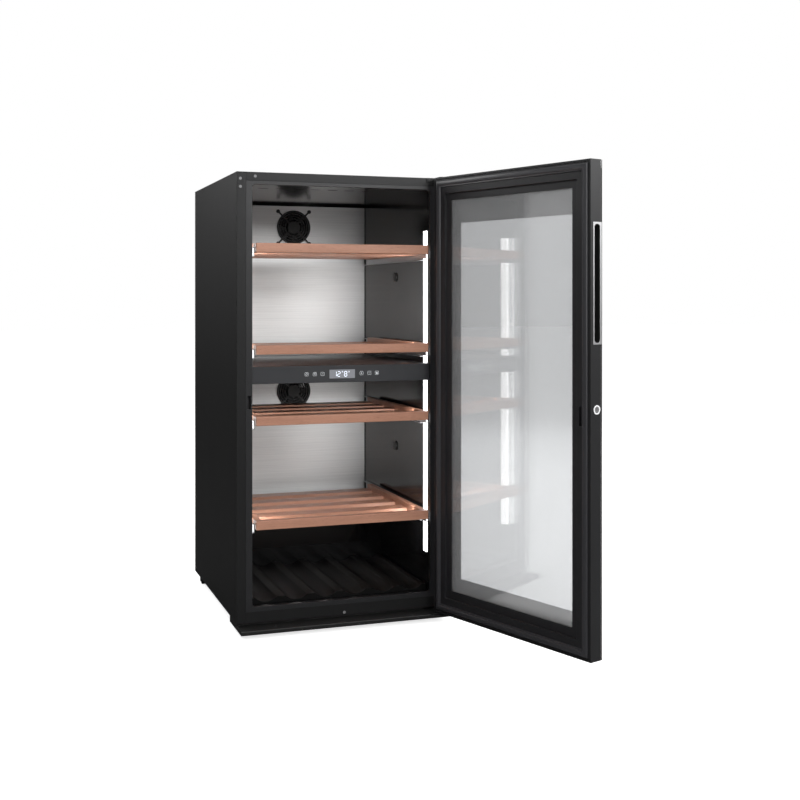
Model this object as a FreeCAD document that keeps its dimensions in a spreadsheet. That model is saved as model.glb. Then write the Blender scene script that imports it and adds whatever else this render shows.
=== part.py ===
import FreeCAD, Part
import Sketcher
import math
import os
from types import SimpleNamespace
from FreeCAD import Placement, Rotation, Vector

# A two-zone wine cooler with a right-hinged glass door and four telescopic wooden shelves.
# X runs to the right, Y to the back and Z up. The origin is on the floor, under the middle
# of the cabinet's front face. Millimetres and degrees.
DIMENSIONS = {
    # cabinet
    "cabinetWidth": 595, "cabinetTop": 1240, "cabinetBottom": 32, "cabinetDepth": 659,
    "panelSheet": 1.5, "flangeSide": 25.2, "flangeTop": 23.5,
    "plugRadius": 4, "plugRecess": 0.3,
    # front ring round the opening, and the strike in it
    "openingHalf": 255, "openingBottom": 73.5, "openingTop": 1207, "ringThick": 12,
    "ringFoot": 12, "openingCorner": 10, "jointLine": 0.7,
    "strikeHalf": 4.5, "strikeBottom": 604, "strikeTop": 639, "strikeDepth": 11.2,
    # inside
    "linerHalf": 258, "linerWall": 2, "linerBack": 634, "humpFront": 450, "humpLow": 133,
    "humpHigh": 220, "bayRiser": 478.5, "bayLow": 118, "backPanel": 618, "backTop": 1199,
    "cradlePitch": 84, "cradleRadius": 45, "cradleValley": 78, "cradleRidge": 90,
    "cradleHalf": 252, "cradleFront": 30,
    # zone divider and control panel
    "dividerBottom": 670, "dividerTop": 717, "dividerFront": 40, "panelFront": 8, "panelWall": 2,
    "displayLeft": -38, "displayRight": 35, "displayBottom": 681, "displayTop": 705,
    # lighting strips on the side walls
    "ledFront": 34, "ledBack": 61, "ledProud": 1.6, "ledLowFoot": 179, "ledLowHead": 669,
    "ledHighFoot": 718, "ledHighHead": 1093,
    # shelves and their slides
    "shelfHalf": 246, "shelfFront": -8, "boardThick": 20, "boardHigh": 25, "sideBoard": 18,
    "shelfBack": 500, "slatThick": 12, "slatWide": 58, "shelfOne": 1025, "shelfTwo": 750,
    "shelfThree": 559, "shelfFour": 280, "railDrop": 16, "railHigh": 35, "railFront": 66,
    "railBack": 600, "railSheet": 1.5, "memberHigh": 25, "memberDrop": 11, "memberReach": 5,
    "memberLength": 470,
    # fans
    "fanAcross": 15, "fanRadius": 50, "upperFan": 1130, "lowerFan": 600, "earReach": 73,
    "bladeReach": 46, "hubRadius": 17, "shaftRadius": 2.5, "runningGap": 0.05, "bayFanReach": 38,
    # plinth, feet, rollers
    "plinthHalf": 295.5, "plinthFront": -51.5, "plinthBack": 105, "plinthBottom": 13,
    "plinthTop": 24.5, "hingeLeft": 239, "footAcross": 210, "footBack": 24, "footRadius": 19,
    "stemRadius": 5, "rollerRadius": 15, "rollerAcross": 275.5, "rollerWidth": 20,
    "rollerBack": 610, "axleRadius": 3,
    # door, as it is when closed
    "doorBack": -6, "doorFront": -46, "doorBottom": 27, "doorTop": 1237, "pane": 4,
    "frameWidth": 41.5, "frameWall": 2, "frameBack": -10, "rimWidth": 5, "bezelInset": 6.5,
    "gasketInset": 10, "gasketWidth": 18, "gasketFace": -0.5, "stepInset": 45.5,
    "windowHalf": 230, "windowBottom": 96, "windowTop": 1171, "middlePane": -32,
    "innerPane": -18, "spacerHalf": 252, "spacerWidth": 9,
    # hinge, lock and handle on the door
    "hingeAcross": 285.5, "hingeDeep": -35, "pinRadius": 4, "bushRadius": 6.5, "doorAngle": 108,
    "lockDeep": -26.8, "lockHigh": 633, "plugBody": 8, "lockSleeve": 10, "lockFlange": 11.25,
    "camNear": 261.5, "camThick": 4, "camReach": 37, "handleBottom": 790, "handleTop": 1085.5,
    "handleFront": -43.5, "handleBack": -14.4, "cupFront": -37.6, "cupBack": -18.5,
    "cupBottom": 794, "cupTop": 1080.5, "cupDepth": 22, "cupWall": 1.2,
    # refrigeration
    "compressorAcross": 110, "compressorBack": 572, "compressorRadius": 70,
    "condenserLeft": -245, "condenserRight": -135, "trayFloor": 18, "trayHalf": 250,
    "suctionAcross": 150, "suctionBack": 646.5, "suctionRadius": 4, "branchRadius": 3,
}


class Size:
    """A length, with the spreadsheet expression that gives it."""

    def __init__(self, number, text):
        self.number = number
        self.text = text

    def __add__(self, other):
        other = sized(other)
        return Size(self.number + other.number, f"({self.text} + {other.text})")

    def __sub__(self, other):
        other = sized(other)
        return Size(self.number - other.number, f"({self.text} - {other.text})")

    def __mul__(self, factor):
        return Size(self.number * factor, f"({self.text} * {factor})")

    def __truediv__(self, divisor):
        return Size(self.number / divisor, f"({self.text} / {divisor})")

    def __neg__(self):
        return Size(-self.number, f"(-1 * {self.text})")

    def __radd__(self, other):
        return sized(other) + self

    def __rsub__(self, other):
        return sized(other) - self


def sized(value):
    return value if isinstance(value, Size) else Size(float(value), str(value))


def makeSheet():
    sheet = doc.addObject("Spreadsheet::Sheet", "Dims")
    names = SimpleNamespace()
    for row, (alias, number) in enumerate(DIMENSIONS.items(), start=1):
        sheet.set(f"A{row}", alias)
        sheet.set(f"B{row}", str(number))
        sheet.setAlias(f"B{row}", alias)
        setattr(names, alias, Size(float(number), f"Dims.{alias}"))
    return names


doc = FreeCAD.newDocument("WineCooler")
d = makeSheet()
doc.recompute()
kept = {}
doorPieces = []
TURN = {
    "X": Rotation(Vector(0, 1, 0), 90),
    "Y": Rotation(Vector(1, 0, 0), -90),
    "Z": Rotation(),
}


def bind(obj, path, value):
    obj.setExpression(path, sized(value).text)


def setAt(obj, x, y, z):
    bind(obj, "Placement.Base.x", x)
    bind(obj, "Placement.Base.y", y)
    bind(obj, "Placement.Base.z", z)


def keep(label, obj, onDoor=False):
    """Names a finished piece, which is then written to its own file."""
    obj.Label = label
    kept[label] = obj
    if onDoor:
        doorPieces.append(obj)
    return obj


def box(x, y, z):
    """A block between a low and a high value on each axis."""
    obj = doc.addObject("Part::Box", "Block")
    bind(obj, "Length", sized(x[1]) - x[0])
    bind(obj, "Width", sized(y[1]) - y[0])
    bind(obj, "Height", sized(z[1]) - z[0])
    setAt(obj, x[0], y[0], z[0])
    return obj


def rod(axis, radius, low, high, first, second):
    """A cylinder along an axis, centred on the other two coordinates."""
    obj = doc.addObject("Part::Cylinder", "Rod")
    bind(obj, "Radius", radius)
    bind(obj, "Height", sized(high) - low)
    obj.Placement = Placement(Vector(), TURN[axis])
    base = {"X": (low, first, second), "Y": (first, low, second), "Z": (first, second, low)}
    setAt(obj, *base[axis])
    return obj


def fuse(*shapes):
    obj = doc.addObject("Part::MultiFuse", "Joined")
    obj.Shapes = list(shapes)
    return obj


def cut(base, *tools):
    obj = doc.addObject("Part::Cut", "Trimmed")
    obj.Base = base
    obj.Tool = tools[0] if len(tools) == 1 else fuse(*tools)
    return obj


def group(*shapes):
    obj = doc.addObject("Part::Compound", "Group")
    obj.Links = list(shapes)
    return obj


def mirrored(source):
    """The same piece on the other side of the cabinet."""
    obj = doc.addObject("Part::Mirroring", "Mirrored")
    obj.Source = source
    obj.Normal = Vector(1, 0, 0)
    return obj



def ring(x, y, z, width):
    """A rectangular ring of one width, lying between two Y values."""
    outer = box(x, y, z)
    inner = box(
        (sized(x[0]) + width, sized(x[1]) - width),
        (sized(y[0]) - 1, sized(y[1]) + 1),
        (sized(z[0]) + width, sized(z[1]) - width),
    )
    return cut(outer, inner)


def originPlane(body, role):
    return next(o for o in body.Origin.OriginFeatures if o.Role == role)


def polygonSketch(body, plane, points, offset=0):
    """A closed outline with straight sides, every corner bound to the sheet."""
    sketch = body.newObject("Sketcher::SketchObject", "Outline")
    sketch.AttachmentSupport = [(originPlane(body, plane), "")]
    sketch.MapMode = "FlatFace"
    corners = [(sized(a), sized(b)) for a, b in points]
    places = [Vector(a.number, b.number, 0) for a, b in corners]
    count = len(corners)
    for i in range(count):
        sketch.addGeometry(Part.LineSegment(places[i], places[(i + 1) % count]), False)
    for i in range(count):
        sketch.addConstraint(Sketcher.Constraint("Coincident", i, 2, (i + 1) % count, 1))
    for i, (a, b) in enumerate(corners):
        across = sketch.addConstraint(Sketcher.Constraint("DistanceX", -1, 1, i, 1, a.number))
        sketch.renameConstraint(across, f"across{i}")
        bind(sketch, f"Constraints.across{i}", a)
        up = sketch.addConstraint(Sketcher.Constraint("DistanceY", -1, 1, i, 1, b.number))
        sketch.renameConstraint(up, f"up{i}")
        bind(sketch, f"Constraints.up{i}", b)
    bind(sketch, "AttachmentOffset.Base.z", offset)
    return sketch


def pad(plane, points, low, high):
    """A body made by extruding an outline between two values of the plane's normal axis."""
    body = doc.addObject("PartDesign::Body", "Body")
    backwards = plane == "XZ_Plane"
    sketch = polygonSketch(body, plane, points, -sized(low) if backwards else sized(low))
    feature = body.newObject("PartDesign::Pad", "Pad")
    feature.Profile = sketch
    feature.Reversed = backwards
    bind(feature, "Length", sized(high) - low)
    return body


def rounded(body, radius, along, where=None):
    """Rounds the edges of a body that run along an axis, all of them or those chosen."""
    doc.recompute()
    base = body.Tip
    names = []
    for i, edge in enumerate(base.Shape.Edges, start=1):
        direction = edge.tangentAt(edge.FirstParameter)
        runsAlong = abs(getattr(direction, along.lower())) > 0.99
        if runsAlong and (where is None or where(edge.CenterOfMass)):
            names.append(f"Edge{i}")
    feature = body.newObject("PartDesign::Fillet", "Rounding")
    feature.Base = (base, names)
    bind(feature, "Radius", radius)
    return body


def pocket(body, plane, points, low, high):
    """Cuts an outline out of a body between two values of the plane's normal axis."""
    doc.recompute()
    before = body.Shape.Volume
    backwards = plane == "XZ_Plane"
    sketch = polygonSketch(body, plane, points, -sized(low) if backwards else sized(low))
    feature = body.newObject("PartDesign::Pocket", "Pocket")
    feature.Profile = sketch
    feature.Reversed = not backwards
    bind(feature, "Length", sized(high) - low)
    doc.recompute()
    if body.Shape.Volume > before - 1:
        raise RuntimeError(f"a pocket in {body.Name} cuts nothing")
    return body


def turned(axis, points, x, y, z):
    """A body of revolution: points are radius and distance along the axis."""
    body = doc.addObject("PartDesign::Body", "Body")
    sketch = polygonSketch(body, "XZ_Plane", points)
    feature = body.newObject("PartDesign::Revolution", "Revolution")
    feature.Profile = sketch
    feature.ReferenceAxis = (sketch, ["V_Axis"])
    feature.Angle = 360
    body.Placement = Placement(Vector(), TURN[axis])
    setAt(body, x, y, z)
    return body


def rectangle(x, z):
    return [(x[0], z[0]), (x[1], z[0]), (x[1], z[1]), (x[0], z[1])]


# driving lines that several pieces share
half = d.cabinetWidth / 2
wallOut = d.linerHalf + d.linerWall
skinIn = half - d.panelSheet
topIn = d.cabinetTop - d.panelSheet
backIn = d.cabinetDepth - d.panelSheet
ringHalf = half - d.flangeSide
ringTop = d.cabinetTop - d.flangeTop
ringFloor = d.openingBottom - d.ringFoot
camMiddle = -(d.camNear + d.camThick / 2)
slope = (DIMENSIONS["humpHigh"] - DIMENSIONS["humpLow"]) / (
    DIMENSIONS["linerBack"] - DIMENSIONS["humpFront"]
)
steep = math.sqrt(1 + slope**2)


def sloped(start, distance):
    return sized(start) + sized(distance) * slope


def suctionLine():
    """The suction line: up inside the back wall, with a branch to each evaporator."""
    pieces = [rod("Z", d.suctionRadius, 74, 1026, d.suctionAcross, d.suctionBack)]
    for front, height in ((630.5, 80), (625, 500), (625, 1020)):
        pieces.append(rod("Y", d.branchRadius, front, d.suctionBack, d.suctionAcross, height))
    return fuse(*pieces)


def makeCase():
    """Outer steel: two folded sides, a folded top, the back, and the bottom pan with its front rail."""
    plugs = [(-287.2, 1222), (-287.2, 1200), (-246.8, 1229)]
    for label, side in (("left_side_panel", -1), ("right_side_panel", 1)):
        panel = pad(
            "XY_Plane",
            [(half * side, 0), (ringHalf * side, 0), (ringHalf * side, d.panelSheet),
             (skinIn * side, d.panelSheet), (skinIn * side, d.cabinetDepth), (half * side, d.cabinetDepth)],
            d.cabinetBottom, topIn,
        )
        if side < 0:
            panel = cut(panel, *(rod("Y", d.plugRadius, -1, 3, x, z) for x, z in plugs[:2]))
        keep(label, panel)
    top = pad(
        "YZ_Plane",
        [(0, ringTop), (d.panelSheet, ringTop), (d.panelSheet, topIn), (d.cabinetDepth, topIn),
         (d.cabinetDepth, d.cabinetTop), (0, d.cabinetTop)],
        -half, half,
    )
    corners = box((ringHalf, half + 1), (-1, d.panelSheet), (ringTop - 1, topIn))
    plugHole = rod("Y", d.plugRadius, -1, 1.5, *plugs[2])
    keep("top_panel", cut(top, corners, mirrored(corners), plugHole))
    fillers = [rod("Y", d.plugRadius, d.plugRecess, d.panelSheet, x, z) for x, z in plugs]
    button = turned("Y", [(0, -0.4), (3.6, -0.4), (4.2, 0), (0, 0)], 2, 0, 38)
    keep("hole_plugs", group(*fillers, button))
    keep("rear_panel", box((-skinIn, skinIn), (backIn, d.cabinetDepth),
                           (sloped(d.bayLow, backIn - d.bayRiser), topIn)))
    panDrop = d.panelSheet * steep
    underRiser = d.bayRiser + d.panelSheet
    pan = pad(
        "YZ_Plane",
        [(d.panelSheet, d.cabinetBottom), (underRiser, d.cabinetBottom),
         (underRiser, sloped(d.bayLow - panDrop, d.panelSheet)),
         (backIn, sloped(d.bayLow - panDrop, backIn - d.bayRiser)),
         (backIn, sloped(d.bayLow, backIn - d.bayRiser)), (d.bayRiser, d.bayLow),
         (d.bayRiser, d.cabinetBottom + d.panelSheet),
         (d.panelSheet, d.cabinetBottom + d.panelSheet)],
        -skinIn, skinIn,
    )
    rail = pad(
        "YZ_Plane",
        [(0, d.cabinetBottom), (d.panelSheet, d.cabinetBottom), (d.panelSheet, ringFloor - d.panelSheet),
         (d.ringThick, ringFloor - d.panelSheet), (d.ringThick, ringFloor), (0, ringFloor)],
        -ringHalf, ringHalf,
    )
    keep("base_pan", cut(fuse(pan, rail), suctionLine()))



def makeFrontRing():
    """The moulded ring round the opening, with the slot that the lock's tongue turns into."""
    outline = rectangle((-ringHalf, ringHalf), (ringFloor, ringTop))
    body = pad("XZ_Plane", outline, 0, d.ringThick)
    window = rectangle((-d.openingHalf, d.openingHalf), (d.openingBottom, d.openingTop))
    pocket(body, "XZ_Plane", window, 0, d.ringThick)
    inside = DIMENSIONS["openingHalf"] + 1
    low, high = DIMENSIONS["openingBottom"] - 1, DIMENSIONS["openingTop"] + 1
    rounded(body, d.openingCorner, "Y", lambda c: abs(c.x) < inside and low < c.z < high)
    strike = rectangle((camMiddle - d.strikeHalf, camMiddle + d.strikeHalf), (d.strikeBottom, d.strikeTop))
    pocket(body, "XZ_Plane", strike, 0, d.strikeDepth)
    joint = box((-ringHalf - 1, -d.openingHalf + 1), (-1, d.jointLine), (672, 672.8))
    keep("front_frame", cut(body, joint))


def makeLiner():
    """The inner lining, its wave-shaped bottle cradle, and the foam behind it."""
    wallFloor = d.openingBottom - d.linerWall
    drop = d.linerWall * steep
    behind = d.humpFront + d.linerWall
    linerEnd = d.linerBack + d.linerWall
    linerTop = d.openingTop + d.linerWall
    walls = [pad(
        "YZ_Plane",
        [(d.ringThick, wallFloor), (behind, wallFloor), (behind, sloped(d.humpLow, d.linerWall) - drop),
         (d.linerBack, d.humpHigh - drop), (d.linerBack, d.openingTop), (d.ringThick, d.openingTop)],
        *x,
    ) for x in ((-wallOut, -d.linerHalf), (d.linerHalf, wallOut))]
    back = cut(
        box((-wallOut, wallOut), (d.linerBack, linerEnd),
            (sloped(d.humpLow, d.linerBack - d.humpFront) - 1.2, d.openingTop)),
        suctionLine(),
    )
    floor = pad(
        "YZ_Plane",
        [(d.ringThick, wallFloor), (behind, wallFloor), (behind, sloped(d.humpLow, d.linerWall) - drop),
         (d.linerBack, d.humpHigh - drop), (d.linerBack, d.humpHigh), (d.humpFront, d.humpLow),
         (d.humpFront, d.openingBottom), (d.ringThick, d.openingBottom)],
        -d.linerHalf, d.linerHalf,
    )
    ceiling = box((-wallOut, wallOut), (d.ringThick, linerEnd), (d.openingTop, linerTop))
    slots = []
    for i in range(-4, 5):
        across = i * 50
        slots.append(box((across - 9, across + 9), (104, 116), (1200, 1220)))
        slots.append(rod("Z", 6, 1200, 1220, across - 9, 110))
        slots.append(rod("Z", 6, 1200, 1220, across + 9, 110))
    keep("inner_liner", group(*walls, back, floor, cut(ceiling, *slots)))
    cradle = box((-d.cradleHalf, d.cradleHalf), (d.cradleFront, d.humpFront - 2),
                 (d.openingBottom, d.cradleRidge))
    valleys = [
        rod("Y", d.cradleRadius, 0, 500, d.cradlePitch * (i - 2.5), d.cradleValley + d.cradleRadius)
        for i in range(6)
    ]
    keep("bottle_cradle", cut(cradle, *valleys))
    foamBody = pad(
        "YZ_Plane",
        [(d.ringThick, d.cabinetBottom + d.panelSheet), (d.bayRiser, d.cabinetBottom + d.panelSheet),
         (d.bayRiser, d.bayLow), (backIn, sloped(d.bayLow, backIn - d.bayRiser)), (backIn, topIn),
         (d.ringThick, topIn)],
        -skinIn, skinIn,
    )
    cavity = pad(
        "YZ_Plane",
        [(0, wallFloor), (behind, wallFloor), (behind, sloped(d.humpLow, d.linerWall) - drop),
         (linerEnd, sloped(d.humpHigh, d.linerWall) - drop), (linerEnd, linerTop), (0, linerTop)],
        -wallOut, wallOut,
    )
    airWay = box((-235, 235), (70, 600), (1200, linerTop + 8))
    keep("foam_insulation", cut(foamBody, cavity, airWay, suctionLine()))


def makeBackPanels():
    """The covers in front of the evaporators, and the evaporator plates brazed to their suction line."""
    zones = (("upper", (d.dividerTop, d.backTop), d.upperFan, (760, 1050)),
             ("lower", (230, d.dividerBottom), d.lowerFan, (260, 530)))
    covers = []
    plates = []
    grilles = []
    for name, span, fanHigh, plate in zones:
        cover = box((-d.linerHalf + 2, d.linerHalf - 2), (d.backPanel, d.backPanel + d.panelSheet), span)
        covers.append(cut(cover, rod("Y", d.fanRadius, 600, 630, d.fanAcross, fanHigh)))
        plates.append(box((-200, 200), (624, 626), plate))
        grilles.append(fanGrille(fanHigh))
        keep(f"{name}_fan_impeller", impeller(
            "Y", d.backPanel + 5, 8.5, d.bladeReach, d.fanAcross, fanHigh, (-1, 7)))
    keep("back_panels", group(*covers))
    keep("evaporators", fuse(*plates, suctionLine()))
    keep("fan_grilles", group(*grilles))


def fanGrille(high):
    """A round guard with rings and four screwed ears, carrying the fan motor and its shaft."""
    front = d.backPanel - 5
    rim = rod("Y", d.fanRadius + 5, front, d.backPanel, d.fanAcross, high)
    pieces = [cut(rim, rod("Y", d.fanRadius - 1, 600, 630, d.fanAcross, high))]
    pieces.append(rod("Y", 20, front + 1, d.backPanel, d.fanAcross, high))
    for radius in (28, 36, 44):
        pieces.append(cut(rod("Y", radius + 1.5, front + 1, d.backPanel - 1, d.fanAcross, high),
                          rod("Y", radius - 1.5, 600, 630, d.fanAcross, high)))
    middle = Vector(d.fanAcross.number, d.backPanel.number - 3.5, high.number)
    for quarter in range(4):
        angle = 45 + 90 * quarter
        ear = doc.addObject("Part::Box", "Ear")
        bind(ear, "Length", d.earReach - 18)
        ear.Width = 5
        ear.Height = 3.5
        turn = Rotation(Vector(0, 1, 0), angle) * Rotation(Vector(1, 0, 0), -90)
        ear.Placement = Placement(middle + turn.multVec(Vector(18, -2.5, 0)), turn)
        pieces.append(ear)
        across = d.fanAcross + d.earReach * math.cos(math.radians(angle))
        up = high + d.earReach * math.sin(math.radians(angle))
        pieces.append(rod("Y", 6, front + 1.5, d.backPanel, across, up))
    pieces.append(rod("Y", 15, d.backPanel, d.backPanel + 4, d.fanAcross, high))
    pieces.append(rod("Y", d.shaftRadius, d.backPanel + 4, d.backPanel + 11.5, d.fanAcross, high))
    return fuse(*pieces)


def impeller(axis, low, deep, reach, first, second, bored):
    """A fan wheel: a hub bored between two depths, and seven pitched blades."""
    hub = rod(axis, d.hubRadius, low, low + deep, first, second)
    centre = Vector(*{"X": (low.number, first.number, second.number),
                      "Y": (first.number, low.number, second.number)}[axis])
    middle = centre + TURN[axis].multVec(Vector(0, 0, deep / 2))
    blades = [hub]
    for i in range(7):
        around = TURN[axis] * Rotation(Vector(0, 0, 1), i * 360 / 7) * Rotation(Vector(1, 0, 0), 24)
        blade = doc.addObject("Part::Box", "Blade")
        bind(blade, "Length", reach - d.hubRadius + 2)
        blade.Width = 18
        blade.Height = 1.4
        blade.Placement = Placement(
            middle + around.multVec(Vector(d.hubRadius.number - 2, -9, -0.7)), around)
        blades.append(blade)
    bore = rod(axis, d.shaftRadius + d.runningGap, low + bored[0], low + bored[1], first, second)
    return cut(fuse(*blades), bore)


def makeDivider():
    """The insulated divider between the zones and the control panel on its front."""
    skin = 2
    divider = box((-d.linerHalf, d.linerHalf), (d.dividerFront, d.backPanel),
                  (d.dividerBottom, d.dividerTop))
    core = box((-d.linerHalf + skin, d.linerHalf - skin), (d.dividerFront + skin, d.backPanel - skin),
               (d.dividerBottom + skin, d.dividerTop - skin))
    keep("zone_divider", cut(divider, core))
    outline = rectangle((-d.openingHalf + 0.5, d.openingHalf - 0.5), (d.dividerBottom, d.dividerTop))
    shell = pad("XZ_Plane", outline, d.panelFront, d.dividerFront)
    hollow = rectangle((-d.openingHalf + 3, d.openingHalf - 3),
                       (d.dividerBottom + d.panelWall, d.dividerTop - d.panelWall))
    pocket(shell, "XZ_Plane", hollow, d.panelFront + d.panelWall, d.dividerFront)
    screen = rectangle((d.displayLeft, d.displayRight), (d.displayBottom, d.displayTop))
    pocket(shell, "XZ_Plane", screen, d.panelFront, d.panelFront + d.panelWall)
    keep("control_panel", shell)
    keep("display_window", box((d.displayLeft, d.displayRight), (d.panelFront + 0.3, d.panelFront + 1.8),
                               (d.displayBottom, d.displayTop)))
    module = box((d.displayLeft - 3, d.displayRight + 3), (11, 18), (d.displayBottom - 3, d.displayTop + 3))
    board = box((-115, 115), (18, 19.6), (675, 712))
    relays = [box((x, x + 18), (19.6, 33), (682, 698)) for x in (-95, -60, 45, 75)]
    keep("control_board", fuse(module, board, *relays))


def makeLights():
    """Lighting strips up both side walls of each zone, and the covers over two sensors."""
    face = d.linerHalf - d.ledProud
    strips = []
    for low, high in ((d.ledLowFoot, d.ledLowHead), (d.ledHighFoot, d.ledHighHead)):
        strip = box((face, d.linerHalf), (d.ledFront, d.ledBack), (low, high))
        strips += [strip, mirrored(strip)]
    keep("led_strips", group(*strips))
    covers = []
    for high in (966, 450):
        disc = rod("X", 14, d.linerHalf - 4, d.linerHalf, 310, high)
        slots = [box((250, d.linerHalf - 1.5), (300, 320), (high + dz - 1, high + dz + 1))
                 for dz in (-6, 0, 6)]
        covers.append(cut(disc, *slots))
    keep("sensor_covers", group(*covers))


def makeShelf(number, bottom):
    """One wooden shelf and its two sliding members; returns the two rails it runs in."""
    front = pad("YZ_Plane", rectangle((d.shelfFront, d.shelfFront + d.boardThick),
                                      (bottom, bottom + d.boardHigh)), -d.shelfHalf, d.shelfHalf)
    faceAt = DIMENSIONS["shelfFront"] + 0.1
    rounded(front, 1.5, "X", lambda c: c.y < faceAt)
    boardBack = d.shelfFront + d.boardThick
    side = box((d.shelfHalf - d.sideBoard, d.shelfHalf), (boardBack, d.shelfBack),
               (bottom, bottom + d.boardHigh))
    inner = d.shelfHalf - d.sideBoard
    count = 5
    gap = (d.shelfBack - boardBack - d.slatWide * count) / (count - 1)
    slats = []
    for i in range(count):
        start = boardBack + (d.slatWide + gap) * i
        slats.append(box((-inner, inner), (start, start + d.slatWide), (bottom, bottom + d.slatThick)))
    keep(f"shelf_{number}", group(front, side, mirrored(side), *slats))
    low = bottom - d.memberDrop
    top = low + d.memberHigh
    reach = d.shelfHalf + d.memberReach
    web = d.shelfHalf + d.railSheet
    member = pad(
        "XZ_Plane",
        [(d.shelfHalf, low), (reach, low), (reach, low + d.railSheet), (web, low + d.railSheet),
         (web, top - d.railSheet), (reach, top - d.railSheet), (reach, top), (d.shelfHalf, top)],
        14, d.memberLength + 14,
    )
    keep(f"shelf_{number}_slides", group(member, mirrored(member)))
    foot = bottom - d.railDrop
    head = foot + d.railHigh
    wall = d.linerHalf - d.railSheet
    lip = d.shelfHalf + 2
    rail = pad(
        "XZ_Plane",
        [(d.linerHalf, foot), (d.linerHalf, head), (lip, head), (lip, head - d.railSheet),
         (wall, head - d.railSheet), (wall, foot + d.railSheet), (lip, foot + d.railSheet), (lip, foot)],
        d.railFront, d.railBack,
    )
    return [rail, mirrored(rail)]


def makeShelves():
    rails = []
    for number, bottom in enumerate((d.shelfOne, d.shelfTwo, d.shelfThree, d.shelfFour), start=1):
        rails += makeShelf(number, bottom)
    keep("shelf_wall_rails", group(*rails))


def makePlinth():
    """The base plate that sticks out under the door, its screws, feet and the bottom hinge plate."""
    outline = [(d.plinthFront, d.plinthBottom), (d.plinthBack, d.plinthBottom),
               (d.plinthBack, d.cabinetBottom), (12, d.cabinetBottom), (12, d.plinthTop),
               (d.plinthFront + 1.5, d.plinthTop), (d.plinthFront, d.plinthTop - 1.5)]
    block = pad("YZ_Plane", outline, -d.plinthHalf, d.plinthHalf)
    seat = d.plinthTop - 5
    hingeSpace = box((d.hingeLeft - 0.5, half + 1), (d.plinthFront - 1, 61), (seat, d.cabinetBottom + 1))
    stems = [rod("Z", d.stemRadius + d.runningGap, 0, 60, side, d.footBack)
             for side in (-d.footAcross, d.footAcross)]
    keep("plinth", cut(block, hingeSpace, *stems))
    plate = pad(
        "YZ_Plane",
        [(d.plinthFront + 4, seat), (60, seat), (60, d.cabinetBottom), (14, d.cabinetBottom),
         (14, d.plinthTop), (d.plinthFront + 4, d.plinthTop)],
        d.hingeLeft, d.plinthHalf,
    )
    rounded(plate, 8, "Z", lambda c: c.y < 0)
    pin = turned(
        "Z", [(0, 19.5), (d.pinRadius, 19.5), (d.pinRadius, d.plinthTop), (7.5, d.plinthTop),
              (7.5, d.doorBottom - 0.3), (d.pinRadius, d.doorBottom - 0.3), (d.pinRadius, 40), (3, 42),
              (0, 42)],
        d.hingeAcross, d.hingeDeep, 0)
    keep("bottom_hinge", fuse(plate, pin))
    for side, across in (("left", -d.footAcross), ("right", d.footAcross)):
        keep(f"front_foot_{side}", turned(
            "Z", [(0, 0), (d.footRadius - 1.5, 0), (d.footRadius, 1.5), (d.footRadius, 7), (12, 10),
                  (d.stemRadius, 10), (d.stemRadius, 31), (0, 31)],
            across, d.footBack, 0))


def makeTray():
    """The cross tray under the compressor bay, its roller forks and axles, and the two rollers."""
    lift = 34
    tray = pad(
        "XZ_Plane",
        [(-skinIn, lift), (-d.trayHalf, lift), (-d.trayHalf, d.trayFloor), (d.trayHalf, d.trayFloor),
         (d.trayHalf, lift), (skinIn, lift), (skinIn, lift + 2), (d.trayHalf - 2, lift + 2),
         (d.trayHalf - 2, d.trayFloor + 2), (-d.trayHalf + 2, d.trayFloor + 2),
         (-d.trayHalf + 2, lift + 2), (-skinIn, lift + 2)],
        d.bayRiser + d.panelSheet, backIn,
    )
    pieces = [tray]
    reach = d.rollerWidth / 2
    inner = reach + 0.5
    outer = inner + 2
    for side, middle in (("left", -d.rollerAcross), ("right", d.rollerAcross)):
        pieces.append(box((middle - outer, middle + outer), (590, 630), (32, lift)))
        for near, far in ((-outer, -inner), (inner, outer)):
            pieces.append(box((middle + near, middle + far), (598, 622), (8, 32)))
        pieces.append(rod("X", d.axleRadius, middle - outer, middle + outer, d.rollerBack, d.rollerRadius))
        bore = d.axleRadius + d.runningGap
        keep(f"rear_roller_{side}", turned(
            "X", [(bore, -reach), (d.rollerRadius - 1.5, -reach), (d.rollerRadius, 1.5 - reach),
                  (d.rollerRadius, reach - 1.5), (d.rollerRadius - 1.5, reach), (bore, reach)],
            middle, d.rollerBack, d.rollerRadius))
    keep("compressor_tray", fuse(*pieces))


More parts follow.
